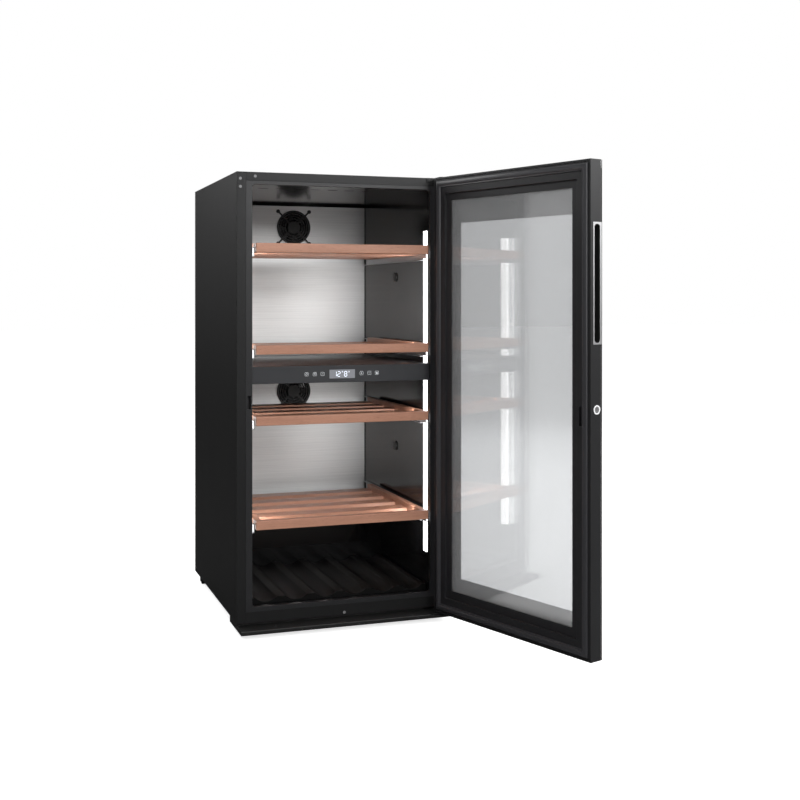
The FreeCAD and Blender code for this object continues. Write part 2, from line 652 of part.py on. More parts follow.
def makeCoolingUnit():
    """What stands in the bay at the back: compressor, condenser, fan, drip tray, cover and inlet."""
    across, back = d.compressorAcross, d.compressorBack
    spots = [(across + x, back + y) for x in (-68, 68) for y in (-46, 46)]
    floor = d.trayFloor + 2
    keep("compressor_mounts", group(*(rod("Z", 9, floor, floor + 12, x, y) for x, y in spots)))
    radius = d.compressorRadius
    can = turned("Z", [(0, 35), (radius - 12, 35), (radius, 47), (radius, 95), (radius - 6, 108),
                       (radius - 20, 120), (radius - 40, 128), (0, 131)], across, back, 0)
    foot = box((across - 80, across + 80), (back - 58, back + 58), (floor + 12, 35))
    relayCover = box((across + radius - 12, across + radius + 26), (back - 24, back + 24), (52, 98))
    keep("compressor", fuse(can, foot, relayCover))
    fins = [box((d.condenserLeft, d.condenserRight), (506 + 9 * i, 506.8 + 9 * i), (floor, 106))
            for i in range(15)]
    tubes = [rod("Y", 3.5, 500, 638, x, z) for x in (-220, -170) for z in (48, 70, 92)]
    discharge = rod("X", 3, -170, 66, 628, 70)
    keep("condenser", fuse(*fins, *tubes, discharge))
    stand = [box((-96, -94), (540, 604), (floor, 105)), box((-94, -76), (540, 604), (floor, floor + 2))]
    motor = [rod("X", 18, -110, -96, back, 70), rod("X", d.shaftRadius, -120, -110, back, 70)]
    keep("condenser_fan_motor", fuse(*stand, *motor))
    keep("condenser_fan_impeller", impeller("X", sized(-122), 10.0, d.bayFanReach, back, sized(70), (1.5, 11)))
    dripOut = box((-272, -140), (562, 650), (106, 120))
    keep("drip_tray", cut(dripOut, box((-270.5, -141.5), (563.5, 648.5), (107.5, 122))))
    coverTop = sloped(d.bayLow, backIn - d.bayRiser) - 0.5
    plate = box((-skinIn, skinIn), (backIn, d.cabinetDepth), (37, coverTop))
    slots = [box((x, x + 60), (650, 665), (z, z + 5)) for x in (-190, -100, -10, 80, 170)
             for z in (66, 82, 98, 114, 130, 146)]
    socket = box((-258, -222), (650, 665), (50, 84))
    keep("compressor_cover", cut(plate, socket, *slots))
    body = box((-258, -222), (642, d.cabinetDepth), (50, 84))
    flange = box((-266, -214), (d.cabinetDepth, d.cabinetDepth + 2), (44, 90))
    mouth = box((-253, -227), (645, 670), (56, 78))
    pins = [box((x, x + 2), (644, 655), (z, z + 5)) for x, z in ((-248, 69), (-234, 69), (-241, 60))]
    keep("power_inlet", fuse(cut(fuse(body, flange), mouth), *pins))


def makeScrews():
    """Every visible screw head: plinth, hinge bracket, rear panel and compressor cover."""
    heads = [turned("Z", [(0, 0), (5, 0), (5, 0.5), (3, 1.5), (0, 1.5)], x, y, d.plinthTop)
             for x, y in ((-197, -21), (197, -21), (262, -24))]
    heads += [turned("Y", [(0, 0), (3.6, 0), (3.2, -1.2), (0, -1.5)], x, -2.5, 1234) for x in (250, 262)]
    rear = [(-288, 50), (288, 50), (-288, 190), (288, 190), (0, 190)]
    rear += [(x, z) for x in (-288, 0, 288) for z in (212, 1228)]
    heads += [turned("Y", [(0, 0), (4, 0), (3.5, 2), (0, 2.4)], x, d.cabinetDepth, z) for x, z in rear]
    keep("screws", group(*heads))



def makeTopHinge():
    """The bracket on the cabinet's front face whose tongue and pin reach over the door's top edge."""
    upright = box((243, 295.5), (-2.5, 0), (1228, d.cabinetTop))
    tongue = pad("XY_Plane", rectangle((266, 295.5), (-45, -2.5)), d.doorTop + 0.6, d.cabinetTop)
    rounded(tongue, 9, "Z", lambda c: c.y < -40)
    pin = turned("Z", [(0, 1222), (3, 1222), (d.pinRadius, 1224), (d.pinRadius, 1239), (0, 1239)],
                 d.hingeAcross, d.hingeDeep, 0)
    keep("top_hinge", fuse(upright, tongue, pin))


def makeDoorFrame():
    """The hollow door frame, the bezel on its inner side, the gasket and the triple glazing."""
    outside = (-half, half)
    tall = (d.doorBottom, d.doorTop)
    front = d.doorFront + d.pane
    wall = d.frameWall
    section = ring(outside, (front, d.frameBack), tall, d.frameWidth)
    hollow = ring((-half + wall, half - wall), (front + wall, d.frameBack - wall),
                  (d.doorBottom + wall, d.doorTop - wall), d.frameWidth - wall * 2)
    rim = ring(outside, (d.frameBack, d.doorBack), tall, d.rimWidth)
    cupSpace = box((-half - 1, -half + wall + 1), (d.cupFront - d.cupWall, d.cupBack + d.cupWall),
                   (d.cupBottom - d.cupWall, d.cupTop + d.cupWall))
    lockSpace = rod("X", d.lockSleeve, -half - 1, -half + wall + 1, d.lockDeep, d.lockHigh)
    tongueSlot = box((camMiddle - d.strikeHalf, camMiddle + d.strikeHalf), (-14, -5),
                     (d.strikeBottom - 12, d.strikeTop))
    bushes = [rod("Z", d.bushRadius, low, high, d.hingeAcross, d.hingeDeep)
              for low, high in ((20, d.doorBottom + 17), (d.doorTop - 17, 1240))]
    frame = cut(fuse(section, rim), hollow, cupSpace, lockSpace, tongueSlot, *bushes)
    keep("door_frame", frame, onDoor=True)
    inset = d.bezelInset
    step = d.stepInset
    paneBack = d.innerPane + d.pane
    plate = ring((-half + inset, half - inset), (d.frameBack, d.doorBack),
                 (d.doorBottom + inset, d.doorTop - inset), step - inset)
    turnIn = ring((-half + step - 3, half - step + 3), (paneBack, d.doorBack),
                  (d.doorBottom + step - 3, d.doorTop - step + 3), 4)
    lip = box((-half + step, half - step), (paneBack, paneBack + 2),
              (d.doorBottom + step, d.doorTop - step))
    window = box((-d.windowHalf, d.windowHalf), (-20, 0), (d.windowBottom, d.windowTop))
    keep("door_inner_frame", cut(fuse(plate, turnIn, cut(lip, window)), tongueSlot), onDoor=True)
    gasket = d.gasketInset
    seal = ring((-half + gasket, half - gasket), (d.doorBack, d.gasketFace),
                (d.doorBottom + gasket, d.doorTop - gasket), d.gasketWidth)
    groove = ring((-half + gasket + 6, half - gasket - 6), (d.gasketFace - 1.2, d.gasketFace + 1),
                  (d.doorBottom + gasket + 6, d.doorTop - gasket - 6), 6)
    keep("door_gasket", cut(seal, groove), onDoor=True)
    keep("outer_glass", pad("XZ_Plane", rectangle(outside, tall), d.doorFront, front), onDoor=True)
    inner = rectangle((-255.5, 255.5), (69, 1195))
    panes = [pad("XZ_Plane", inner, face, face + d.pane) for face in (d.middlePane, d.innerPane)]
    keep("inner_glass", group(*panes), onDoor=True)
    reach = d.spacerHalf
    spacers = [ring((-reach, reach), y, (72.5, 1191.5), d.spacerWidth)
               for y in ((front, d.middlePane), (d.middlePane + d.pane, d.innerPane))]
    keep("glass_spacers", group(*spacers), onDoor=True)
    tubes = [cut(rod("Z", d.bushRadius, low, high, d.hingeAcross, d.hingeDeep),
                 rod("Z", d.pinRadius + d.runningGap, low - 1, high + 1, d.hingeAcross, d.hingeDeep))
             for low, high in ((d.doorBottom, d.doorBottom + 17), (d.doorTop - 17, d.doorTop))]
    keep("hinge_bushes", group(*tubes), onDoor=True)
    glide = box((-5, 20), (-34, -18), (d.doorBottom - 2, d.doorBottom))
    stop = box((-228, -218), (-30, -22), (d.doorBottom - 1.6, d.doorBottom))
    keep("door_glides", group(glide, stop), onDoor=True)


def makeHandleAndLock():
    """The recessed grip in the door's free edge, and the key lock below it."""
    surround = pad("YZ_Plane", rectangle((d.handleFront, d.handleBack), (d.handleBottom, d.handleTop)),
                   -half - 0.9, -half)
    rounded(surround, 1.5, "X")
    cupOut = pad("YZ_Plane", rectangle((d.cupFront - d.cupWall, d.cupBack + d.cupWall),
                                       (d.cupBottom - d.cupWall, d.cupTop + d.cupWall)),
                 -half, -half + d.cupDepth)
    cupIn = pad("YZ_Plane", rectangle((d.cupFront, d.cupBack), (d.cupBottom, d.cupTop)),
                -half - 2, -half + d.cupDepth - d.cupWall)
    rounded(cupIn, 8, "X")
    keep("handle_cup", cut(cupOut, cupIn), onDoor=True)
    mouth = pad("YZ_Plane", rectangle((d.cupFront, d.cupBack), (d.cupBottom, d.cupTop)),
                -half - 2, -half + 1)
    rounded(mouth, 8, "X")
    keep("handle_surround", cut(surround, mouth), onDoor=True)
    sleeve = rod("X", d.lockSleeve, -half, -d.camNear - d.camThick - 1, d.lockDeep, d.lockHigh)
    flange = rod("X", d.lockFlange, -half - 1.2, -half, d.lockDeep, d.lockHigh)
    bore = rod("X", d.plugBody + d.runningGap, -half - 5, -200, d.lockDeep, d.lockHigh)
    keep("lock_housing", cut(fuse(sleeve, flange), bore), onDoor=True)
    barrel = rod("X", d.plugBody, -half - 0.8, -d.camNear - d.camThick, d.lockDeep, d.lockHigh)
    keyhole = box((-half - 2, -half + 12), (d.lockDeep - 0.9, d.lockDeep + 0.9),
                  (d.lockHigh - 4, d.lockHigh + 4))
    keep("lock_barrel", cut(barrel, keyhole), onDoor=True)
    thin = (-d.camNear - d.camThick, -d.camNear)
    arm = box(thin, (d.lockDeep - 4.5, d.lockDeep + 4.5), (d.lockHigh - d.camReach + 4.5, d.lockHigh))
    tip = rod("X", 4.5, thin[0], thin[1], d.lockDeep, d.lockHigh - d.camReach + 4.5)
    hub = rod("X", 7.5, thin[0], thin[1], d.lockDeep, d.lockHigh)
    keep("lock_tongue", fuse(arm, tip, hub), onDoor=True)


def swingDoor():
    """Turns every door piece about the hinge from closed to standing open."""
    axis = Vector(d.hingeAcross.number, d.hingeDeep.number, 0)
    swing = Placement(Vector(), Rotation(Vector(0, 0, 1), d.doorAngle.number), axis)
    for obj in doorPieces:
        obj.Placement = swing.multiply(obj.Placement)


def checkAndWrite():
    for obj in doc.Objects:
        if "Invalid" in obj.State or "Error" in obj.State:
            raise RuntimeError(f"{obj.Name} ({obj.Label}) is {obj.State}")
    os.makedirs("parts", exist_ok=True)
    for label, obj in kept.items():
        shape = obj.Shape
        if shape.isNull() or not shape.isValid() or shape.Volume <= 0:
            raise RuntimeError(f"{label} has no valid solid")
        shape.exportStep(f"parts/{label}.step")
        print(f"{label}: {len(shape.Solids)} solid(s), {shape.Volume / 1000:.1f} cm3")
    print(len(kept), "nodes")


makeCase()
makeFrontRing()
makeLiner()
makeBackPanels()
makeDivider()
makeLights()
makeShelves()
makePlinth()
makeTray()
makeCoolingUnit()
makeTopHinge()
makeDoorFrame()
makeHandleAndLock()
makeScrews()
doc.recompute()
swingDoor()
doc.recompute()
checkAndWrite()
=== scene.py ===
import math

import bpy
from mathutils import Matrix, Vector


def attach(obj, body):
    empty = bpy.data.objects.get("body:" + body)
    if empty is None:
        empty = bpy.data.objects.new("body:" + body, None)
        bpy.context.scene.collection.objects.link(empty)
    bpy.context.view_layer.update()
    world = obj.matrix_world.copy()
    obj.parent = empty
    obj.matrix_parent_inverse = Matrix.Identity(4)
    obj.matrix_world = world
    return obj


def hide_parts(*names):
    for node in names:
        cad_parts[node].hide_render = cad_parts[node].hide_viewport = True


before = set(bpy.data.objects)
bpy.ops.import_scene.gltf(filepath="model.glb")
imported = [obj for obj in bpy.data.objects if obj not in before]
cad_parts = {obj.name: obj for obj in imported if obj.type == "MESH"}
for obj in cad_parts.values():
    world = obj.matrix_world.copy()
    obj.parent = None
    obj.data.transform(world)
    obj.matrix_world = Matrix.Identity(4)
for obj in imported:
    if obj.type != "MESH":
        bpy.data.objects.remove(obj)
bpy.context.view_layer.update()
scene = bpy.context.scene

# the door stands open in the frame; its pieces are modelled closed and then swung
hinge = {"x": 0.2855, "y": -0.035, "angle": 108}
doorSwing = (Matrix.Translation((hinge["x"], hinge["y"], 0))
             @ Matrix.Rotation(math.radians(hinge["angle"]), 4, "Z")
             @ Matrix.Translation((-hinge["x"], -hinge["y"], 0)))


def deselectAll():
    bpy.ops.object.select_all(action="DESELECT")


def pick(obj):
    deselectAll()
    obj.select_set(True)
    bpy.context.view_layer.objects.active = obj


def bakePlace(obj):
    pick(obj)
    bpy.ops.object.transform_apply(location=True, rotation=True, scale=True)


def addBlock(name, x, y, z):
    deselectAll()
    middle = [(a + b) / 2 for a, b in (x, y, z)]
    size = (x[1] - x[0], y[1] - y[0], z[1] - z[0])
    bpy.ops.mesh.primitive_cube_add(size=1, location=middle, scale=size)
    obj = bpy.context.object
    obj.name = name
    bakePlace(obj)
    return obj


def applyModifiers(obj):
    pick(obj)
    for modifier in list(obj.modifiers):
        bpy.ops.object.modifier_apply(modifier=modifier.name)


def carve(obj, cutter):
    tool = obj.modifiers.new("opening", "BOOLEAN")
    tool.operation = "DIFFERENCE"
    tool.solver = "EXACT"
    tool.object = cutter
    applyModifiers(obj)
    bpy.data.objects.remove(cutter)


smoothing = {"bevelFrom": 40, "shadeBelow": 35, "flatWeight": 100}


def softenEdges(obj, width, segments=2):
    d = smoothing
    bevel = obj.modifiers.new("edges", "BEVEL")
    bevel.width = width
    bevel.segments = segments
    bevel.limit_method = "ANGLE"
    bevel.angle_limit = math.radians(d["bevelFrom"])
    bevel.miter_outer = "MITER_ARC"
    bevel.use_clamp_overlap = True
    applyModifiers(obj)
    bpy.ops.object.shade_smooth_by_angle(angle=math.radians(d["shadeBelow"]))
    # keeps the broad faces looking flat
    flats = obj.modifiers.new("flats", "WEIGHTED_NORMAL")
    flats.keep_sharp = True
    flats.weight = d["flatWeight"]
    applyModifiers(obj)


def closeRing(obj, base):
    # draws the open inner edge down to the base plane and joins it to the outer edge behind
    pick(obj)
    bpy.ops.object.mode_set(mode="EDIT")
    bpy.ops.mesh.select_all(action="SELECT")
    bpy.ops.mesh.region_to_loop()
    bpy.ops.object.mode_set(mode="OBJECT")
    for vertex in obj.data.vertices:
        if vertex.select:
            vertex.co.y = base
    bpy.ops.object.mode_set(mode="EDIT")
    bpy.ops.mesh.bridge_edge_loops()
    bpy.ops.mesh.select_all(action="SELECT")
    bpy.ops.mesh.normals_make_consistent(inside=False)
    bpy.ops.object.mode_set(mode="OBJECT")


def joined(name, parts):
    deselectAll()
    for part in parts:
        part.select_set(True)
    bpy.context.view_layer.objects.active = parts[0]
    if len(parts) > 1:
        bpy.ops.object.join()
    parts[0].name = name
    return parts[0]


def swung(obj):
    obj.data.transform(doorSwing)
    return obj


def finishPiece(obj, body, material, replaced=()):
    obj.data.materials.clear()
    obj.data.materials.append(material)
    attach(obj, body)
    if replaced:
        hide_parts(*replaced)
    return obj


# flat faces with holes or rings in them become quads; the others can be merged into large faces
pierced = ("door_frame", "door_inner_frame", "compressor_cover", "base_pan", "front_frame", "rear_panel",
           "top_panel", "left_side_panel", "right_side_panel", "plinth")
merging = {"distance": 0.000002, "flatAngle": 0.5, "anyShape": 179}


def copyOf(node, name):
    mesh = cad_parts[node].data.copy()
    obj = bpy.data.objects.new(name, mesh)
    scene.collection.objects.link(obj)
    pick(obj)
    bpy.ops.object.mode_set(mode="EDIT")
    bpy.ops.mesh.select_all(action="SELECT")
    bpy.ops.mesh.remove_doubles(threshold=merging["distance"])
    flat = math.radians(merging["flatAngle"])
    if node in pierced:
        shape = math.radians(merging["anyShape"])
        bpy.ops.mesh.tris_convert_to_quads(face_threshold=flat, shape_threshold=shape)
    else:
        bpy.ops.mesh.dissolve_limited(angle_limit=flat)
    bpy.ops.object.mode_set(mode="OBJECT")
    return obj


def newGroup(name, inputs, outputs):
    tree = bpy.data.node_groups.new(name, "ShaderNodeTree")
    for label, value in inputs:
        socket = tree.interface.new_socket(name=label, in_out="INPUT", socket_type="NodeSocketFloat")
        socket.default_value = value
    for label, kind in outputs:
        tree.interface.new_socket(name=label, in_out="OUTPUT", socket_type=kind)
    return tree, tree.nodes.new("NodeGroupInput"), tree.nodes.new("NodeGroupOutput")


def mathNode(tree, operation, first, second):
    node = tree.nodes.new("ShaderNodeMath")
    node.operation = operation
    for socket, value in zip(node.inputs, (first, second)):
        if hasattr(value, "links"):
            tree.links.new(value, socket)
        else:
            socket.default_value = value
    return node.outputs[0]


def stretched(tree, scale):
    place = tree.nodes.new("ShaderNodeTexCoord")
    mapping = tree.nodes.new("ShaderNodeMapping")
    mapping.inputs["Scale"].default_value = scale
    tree.links.new(place.outputs["Object"], mapping.inputs["Vector"])
    return mapping.outputs["Vector"]


def noiseOn(tree, vector, scale, detail=3.0, rough=0.55):
    noise = tree.nodes.new("ShaderNodeTexNoise")
    noise.inputs["Detail"].default_value = detail
    noise.inputs["Roughness"].default_value = rough
    tree.links.new(vector, noise.inputs["Vector"])
    if hasattr(scale, "links"):
        tree.links.new(scale, noise.inputs["Scale"])
    else:
        noise.inputs["Scale"].default_value = scale
    return noise.outputs["Fac"]


def makeGrainGroup():
    # fine moulded or sprayed texture, with a broad soft unevenness in its sheen
    tree, inner, outer = newGroup(
        "surfaceGrain", (("Scale", 900), ("Depth", 1), ("Sheen", 0.4), ("Spread", 0.06)),
        (("Height", "NodeSocketFloat"), ("Roughness", "NodeSocketFloat")))
    flat = stretched(tree, (1, 1, 1))
    fine = noiseOn(tree, flat, inner.outputs["Scale"], 2)
    broad = noiseOn(tree, flat, 5, 2)
    tree.links.new(mathNode(tree, "MULTIPLY", fine, inner.outputs["Depth"]), outer.inputs["Height"])
    average = mathNode(tree, "MULTIPLY", mathNode(tree, "ADD", fine, broad), 0.5)
    centred = mathNode(tree, "SUBTRACT", average, 0.5)
    spread = mathNode(tree, "MULTIPLY", centred, inner.outputs["Spread"])
    tree.links.new(mathNode(tree, "ADD", spread, inner.outputs["Sheen"]), outer.inputs["Roughness"])
    return tree


def makeBrushGroup(name, scale):
    # long fine scratches from a brushing belt, running along one axis
    tree, inner, outer = newGroup(
        name, (("Depth", 1), ("Sheen", 0.3), ("Spread", 0.2)),
        (("Height", "NodeSocketFloat"), ("Roughness", "NodeSocketFloat"), ("Tone", "NodeSocketFloat")))
    lines = noiseOn(tree, stretched(tree, scale), 1, 4, 0.7)
    tree.links.new(mathNode(tree, "MULTIPLY", lines, inner.outputs["Depth"]), outer.inputs["Height"])
    spread = mathNode(tree, "MULTIPLY", mathNode(tree, "SUBTRACT", lines, 0.5), inner.outputs["Spread"])
    tree.links.new(mathNode(tree, "ADD", spread, inner.outputs["Sheen"]), outer.inputs["Roughness"])
    tree.links.new(lines, outer.inputs["Tone"])
    return tree


beechGrain = {"finer": 7, "flecks": 16, "fleckFrom": 0.6, "fleckTo": 0.72}


def makeWoodGroup(name, scale):
    # straight grain, darker growth bands and the short dark flecks of beech
    tree, inner, outer = newGroup(
        name, (("Bands", 0.5), ("Flecks", 0.4)),
        (("Tone", "NodeSocketFloat"), ("Height", "NodeSocketFloat")))
    vector = stretched(tree, scale)
    bands = noiseOn(tree, vector, 1, 4, 0.6)
    finer = noiseOn(tree, vector, beechGrain["finer"], 3, 0.65)
    flecks = noiseOn(tree, vector, beechGrain["flecks"], 1, 0.4)
    ramp = tree.nodes.new("ShaderNodeMapRange")
    ramp.inputs["From Min"].default_value = beechGrain["fleckFrom"]
    ramp.inputs["From Max"].default_value = beechGrain["fleckTo"]
    tree.links.new(flecks, ramp.inputs["Value"])
    fleck = mathNode(tree, "MULTIPLY", ramp.outputs["Result"], inner.outputs["Flecks"])
    grain = mathNode(tree, "ADD", mathNode(tree, "MULTIPLY", bands, inner.outputs["Bands"]),
                     mathNode(tree, "MULTIPLY", finer, 0.5))
    tree.links.new(mathNode(tree, "SUBTRACT", grain, fleck), outer.inputs["Tone"])
    tree.links.new(mathNode(tree, "SUBTRACT", finer, fleck), outer.inputs["Height"])
    return tree


grainGroup = makeGrainGroup()
brushAcross = makeBrushGroup("brushedAcross", (4, 700, 700))
brushUp = makeBrushGroup("brushedUp", (900, 900, 6))
woodAcross = makeWoodGroup("beechAcross", (5, 90, 90))
woodDeep = makeWoodGroup("beechDeep", (90, 5, 90))


def newMaterial(name, colour, roughness, metallic=0.0, specular=0.5):
    material = bpy.data.materials.new(name)
    material.use_nodes = True
    shader = material.node_tree.nodes["Principled BSDF"]
    shader.inputs["Base Color"].default_value = (*colour, 1)
    shader.inputs["Roughness"].default_value = roughness
    shader.inputs["Metallic"].default_value = metallic
    shader.inputs["Specular IOR Level"].default_value = specular
    return material, material.node_tree, shader


def placeGroup(tree, group, values):
    node = tree.nodes.new("ShaderNodeGroup")
    node.node_tree = group
    for label, value in values.items():
        node.inputs[label].default_value = value
    return node


def addBump(tree, shader, height, strength, distance):
    bump = tree.nodes.new("ShaderNodeBump")
    bump.inputs["Strength"].default_value = strength
    bump.inputs["Distance"].default_value = distance
    tree.links.new(height, bump.inputs["Height"])
    tree.links.new(bump.outputs["Normal"], shader.inputs["Normal"])


bumpDepth = {"grain": 0.0002, "brush": 0.0001, "wood": 0.0003}


def grainMaterial(name, colour, roughness, scale, bump, metallic=0.0, specular=0.5, spread=0.08):
    material, tree, shader = newMaterial(name, colour, roughness, metallic, specular)
    node = placeGroup(tree, grainGroup, {"Scale": scale, "Sheen": roughness, "Spread": spread})
    tree.links.new(node.outputs["Roughness"], shader.inputs["Roughness"])
    addBump(tree, shader, node.outputs["Height"], bump, bumpDepth["grain"])
    return material


def mixColours(tree, shader, factor, dark, light):
    mix = tree.nodes.new("ShaderNodeMix")
    mix.data_type = "RGBA"
    mix.inputs["A"].default_value = (*dark, 1)
    mix.inputs["B"].default_value = (*light, 1)
    tree.links.new(factor, mix.inputs["Factor"])
    tree.links.new(mix.outputs["Result"], shader.inputs["Base Color"])


brushSpread = 0.22


def brushedMaterial(name, group, dark, light, roughness, bump):
    material, tree, shader = newMaterial(name, light, roughness, 1.0)
    node = placeGroup(tree, group, {"Sheen": roughness, "Spread": brushSpread})
    tree.links.new(node.outputs["Roughness"], shader.inputs["Roughness"])
    mixColours(tree, shader, node.outputs["Tone"], dark, light)
    addBump(tree, shader, node.outputs["Height"], bump, bumpDepth["brush"])
    return material


woodFinish = {"roughness": 0.42, "bands": 0.75, "flecks": 0.45, "coat": 0.15, "coatRoughness": 0.3,
              "bump": 0.25}


def woodMaterial(name, group, dark, light):
    d = woodFinish
    material, tree, shader = newMaterial(name, light, d["roughness"])
    node = placeGroup(tree, group, {"Bands": d["bands"], "Flecks": d["flecks"]})
    mixColours(tree, shader, node.outputs["Tone"], dark, light)
    shader.inputs["Coat Weight"].default_value = d["coat"]
    shader.inputs["Coat Roughness"].default_value = d["coatRoughness"]
    addBump(tree, shader, node.outputs["Height"], d["bump"], bumpDepth["wood"])
    return material


def glassMaterial(name, colour, clear=1.0):
    material, _, shader = newMaterial(name, colour, 0.0)
    shader.inputs["Transmission Weight"].default_value = clear
    shader.inputs["IOR"].default_value = 1.45
    return material


def lightMaterial(name, colour, strength):
    material, _, shader = newMaterial(name, colour, 0.4)
    shader.inputs["Emission Color"].default_value = (*colour, 1)
    shader.inputs["Emission Strength"].default_value = strength
    return material


blackPaint = grainMaterial("blackPaint", (0.0085, 0.0085, 0.009), 0.46, 1400, 0.22, specular=0.4)
darkSheet = grainMaterial("darkSheet", (0.02, 0.02, 0.021), 0.55, 900, 0.2)
ringPlastic = grainMaterial("ringPlastic", (0.016, 0.016, 0.0178), 0.42, 1600, 0.25)
panelPlastic = grainMaterial("panelPlastic", (0.03, 0.031, 0.035), 0.42, 1600, 0.2)
linerPlastic = grainMaterial("linerPlastic", (0.007, 0.007, 0.0075), 0.14, 700, 0.04,
                             specular=0.36, spread=0.05)
cradlePlastic = grainMaterial("cradlePlastic", (0.003, 0.003, 0.003), 0.55, 700, 0.12, specular=0.18)
trimPlastic = grainMaterial("trimPlastic", (0.012, 0.012, 0.012), 0.45, 1500, 0.3)
# the lock housing is chromed; its light grey, non-metallic colour is a painted reflection standing in for
# the bright surroundings it would mirror
lockPaintedReflection = grainMaterial("lockPaintedReflection", (0.78, 0.78, 0.79), 0.3, 1500, 0.1)
# the hole plugs' light grey is a painted highlight, standing in for the light caught on the button
plugPaintedHighlight = grainMaterial("plugPaintedHighlight", (0.2, 0.2, 0.205), 0.45, 1500, 0.15)
softRubber = grainMaterial("softRubber", (0.012, 0.012, 0.012), 0.62, 1800, 0.25, specular=0.35)
sealRubber = grainMaterial("sealRubber", (0.034, 0.034, 0.038), 0.4, 1800, 0.12, specular=0.6)
anodised = grainMaterial("anodised", (0.016, 0.016, 0.017), 0.4, 2000, 0.15)
glossBlack = grainMaterial("glossBlack", (0.004, 0.004, 0.0045), 0.09, 300, 0.02, spread=0.02)
zincSteel = grainMaterial("zincSteel", (0.42, 0.42, 0.43), 0.34, 500, 0.12, metallic=1.0)
compressorBlack = grainMaterial("compressorBlack", (0.01, 0.01, 0.01), 0.3, 700, 0.15)
plainAluminium = grainMaterial("plainAluminium", (0.6, 0.61, 0.62), 0.4, 600, 0.15, metallic=1.0)
satinSilver = brushedMaterial("satinSilver", brushUp, (0.6, 0.6, 0.61), (0.85, 0.85, 0.86), 0.42, 0.1)
stainless = brushedMaterial("stainless", brushAcross, (0.55, 0.55, 0.55), (0.9, 0.9, 0.89), 0.46, 0.14)
beechFront = woodMaterial("beechFront", woodAcross, (0.275, 0.115, 0.068), (0.51, 0.255, 0.165))
beechSide = woodMaterial("beechSide", woodDeep, (0.275, 0.115, 0.068), (0.51, 0.255, 0.165))
outerPane = glassMaterial("outerPane", (0.54, 0.545, 0.55))
clearPane = glassMaterial("clearPane", (0.95, 0.955, 0.96), clear=0.91)
whiteLight = lightMaterial("whiteLight", (1.0, 1.0, 1.0), 4.0)
displayLight = lightMaterial("displayLight", (0.15, 0.155, 0.17), 0.6)
figureLight = lightMaterial("figureLight", (0.85, 0.9, 1.0), 1.0)
iconPrint = lightMaterial("iconPrint", (0.75, 0.78, 0.8), 0.35)
circuitGreen = grainMaterial("circuitGreen", (0.02, 0.12, 0.05), 0.4, 400, 0.1)
foamYellow = grainMaterial("foamYellow", (0.7, 0.6, 0.32), 0.8, 200, 0.6)
print("materials ready")


keptFinishes = {
    "foam_insulation": foamYellow, "evaporators": plainAluminium, "control_board": circuitGreen,
    "condenser": plainAluminium, "compressor": compressorBlack, "compressor_mounts": softRubber,
    "condenser_fan_motor": zincSteel, "condenser_fan_impeller": trimPlastic, "drip_tray": trimPlastic,
    "compressor_tray": darkSheet, "upper_fan_impeller": trimPlastic, "lower_fan_impeller": trimPlastic,
    "fan_grilles": trimPlastic, "glass_spacers": anodised, "hinge_bushes": trimPlastic,
    "shelf_wall_rails": zincSteel, "inner_glass": clearPane, "inner_liner": linerPlastic,
    "shelf_1_slides": zincSteel, "shelf_2_slides": zincSteel, "shelf_3_slides": zincSteel,
    "shelf_4_slides": zincSteel, "hole_plugs": plugPaintedHighlight, "screws": trimPlastic,
    "back_panels": stainless, "display_window": displayLight, "led_strips": whiteLight,
    "sensor_covers": trimPlastic, "power_inlet": trimPlastic, "lock_tongue": zincSteel,
}
for node, material in keptFinishes.items():
    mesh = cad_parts[node].data
    mesh.materials.clear()
    mesh.materials.append(material)
print("kept nodes finished")


easedPieces = {
    "left_side_panel": ("cabinet", "cabinet_steel", blackPaint, 0.0006),
    "right_side_panel": ("cabinet", "cabinet_steel", blackPaint, 0.0006),
    "top_panel": ("cabinet", "cabinet_steel", blackPaint, 0.0006),
    "rear_panel": ("cabinet", "galvanised_steel", darkSheet, 0.0004),
    "base_pan": ("cabinet", "cabinet_steel", blackPaint, 0.0004),
    "compressor_cover": ("cabinet", "galvanised_steel", darkSheet, 0.0003),
    "front_frame": ("cabinet", "anthracite_plastic", ringPlastic, 0.0009),
    "zone_divider": ("cabinet", "anthracite_plastic", panelPlastic, 0.001),
    "control_panel": ("cabinet", "anthracite_plastic", panelPlastic, 0.0008),
    "bottle_cradle": ("cabinet", "liner_plastic", cradlePlastic, 0.001),
    "plinth": ("cabinet", "trim_plastic", trimPlastic, 0.0008),
    "bottom_hinge": ("cabinet", "cabinet_steel", blackPaint, 0.0006),
    "top_hinge": ("cabinet", "cabinet_steel", blackPaint, 0.0004),
    "front_foot_left": ("left_foot", "foot_plastic", trimPlastic, 0.0005),
    "front_foot_right": ("right_foot", "foot_plastic", trimPlastic, 0.0005),
    "rear_roller_left": ("left_roller", "foot_plastic", trimPlastic, 0.0005),
    "rear_roller_right": ("right_roller", "foot_plastic", trimPlastic, 0.0005),
    "door_frame": ("door", "door_frame_metal", anodised, 0.0006),
    "door_inner_frame": ("door", "anthracite_plastic", ringPlastic, 0.0008),
    "door_glides": ("door", "trim_plastic", trimPlastic, 0.0005),
    "handle_cup": ("door", "trim_plastic", trimPlastic, 0.0003),
    "handle_surround": ("door", "satin_silver", satinSilver, 0.0003),
    "lock_housing": ("door", "satin_silver", lockPaintedReflection, 0.0003),
    "lock_barrel": ("lock", "satin_silver", satinSilver, 0.0002),
}
for node, (body, slotName, material, width) in easedPieces.items():
    piece = copyOf(node, f"{node}_eased")
    softenEdges(piece, width)
    finishPiece(piece, body, material, (node,))
print("eased pieces made")

shelfBoards = {"half": 0.246, "front": -0.008, "thick": 0.02, "high": 0.025, "side": 0.018, "back": 0.5,
               "slatThick": 0.012, "slatWide": 0.058, "slats": 5, "round": 0.0022, "slightRound": 0.0012,
               "joint": 0.0001,
               "bottoms": (1.025, 0.750, 0.559, 0.280)}


